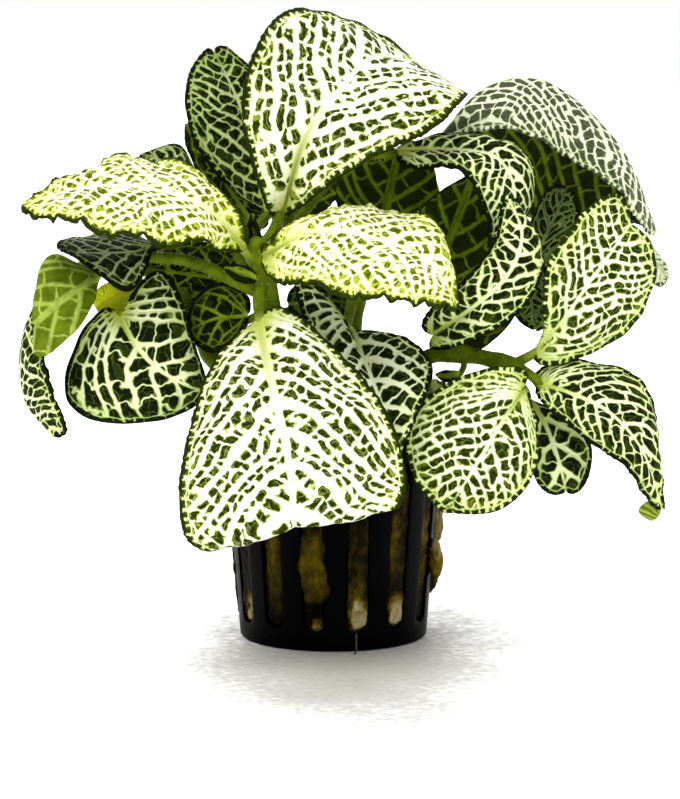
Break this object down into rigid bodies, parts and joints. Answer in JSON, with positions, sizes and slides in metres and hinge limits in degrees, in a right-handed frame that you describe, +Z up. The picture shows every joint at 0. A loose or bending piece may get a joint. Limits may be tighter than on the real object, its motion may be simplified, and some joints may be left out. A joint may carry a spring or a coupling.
{
  "type": "potted nerve plant",
  "caption": "Small nerve plant with net-veined oval leaves on stalks, rooted in a rock wool plug in a slotted black net pot.",
  "frame": {"origin": "middle of the pot's flat base, on the surface that it stands on", "axes": "+Z up; +X to the right and -Y to the front, the side with the large hanging leaf"},
  "size_m": [0.1477, 0.1025, 0.141],
  "materials": {
    "pot_plastic": "glossy black moulded plastic",
    "rock_wool": "wet brown mineral wool",
    "green_stem": "soft green stem with fine hairs",
    "leaf_white_net": "green leaf with a dense white net of veins, satin",
    "leaf_pale_net": "yellow-green leaf with a dense pale net of veins, satin",
    "leaf_dark_net": "dark green leaf with pale net veins, satin"
  },
  "bodies": {
    "root": {"net_pot": "pot_plastic", "rock_wool_plug": "rock_wool", "main_stem": "green_stem", "left_stem": "green_stem", "back_stem": "green_stem", "right_branch": "green_stem", "leaf_top": "leaf_white_net", "leaf_left": "leaf_pale_net", "leaf_right": "leaf_pale_net", "leaf_front": "leaf_white_net", "leaf_low_left": "leaf_dark_net", "leaf_far_left": "leaf_dark_net", "leaf_hanging_left": "leaf_dark_net", "leaf_under_left": "leaf_dark_net", "leaf_yellow": "leaf_dark_net", "leaf_upper_left": "leaf_dark_net", "leaf_upper_left_back": "leaf_dark_net", "leaf_behind_left": "leaf_dark_net", "leaf_arching_right": "leaf_dark_net", "leaf_far_right": "leaf_dark_net", "leaf_curved": "leaf_dark_net", "leaf_middle_right": "leaf_dark_net", "leaf_right_upper": "leaf_pale_net", "leaf_right_lower": "leaf_dark_net", "leaf_round": "leaf_pale_net", "leaf_behind_round": "leaf_dark_net", "leaf_middle": "leaf_dark_net", "leaf_behind_top": "leaf_dark_net", "leaf_behind_right": "leaf_dark_net", "leaf_inner_left": "leaf_dark_net", "leaf_inner_back": "leaf_dark_net", "leaf_inner_right": "leaf_dark_net", "leaf_bud": "leaf_dark_net", "young_leaf_left": "leaf_dark_net", "leaf_blurred_right": "leaf_dark_net", "leaf_dark_right": "leaf_dark_net", "leaf_under_middle": "leaf_dark_net", "leaf_branch_bud": "leaf_dark_net", "leaf_back_low": "leaf_dark_net", "leaf_back_low_right": "leaf_dark_net", "leaf_back_left": "leaf_dark_net", "leaf_back_right": "leaf_dark_net", "leaf_back_top": "leaf_dark_net", "leaf_back_middle": "leaf_dark_net", "leaf_back_inner": "leaf_dark_net", "leaf_back_far_left": "leaf_dark_net", "leaf_back_branch": "leaf_dark_net", "leaf_back_low_left": "leaf_dark_net"}
  },
  "joints": []
}
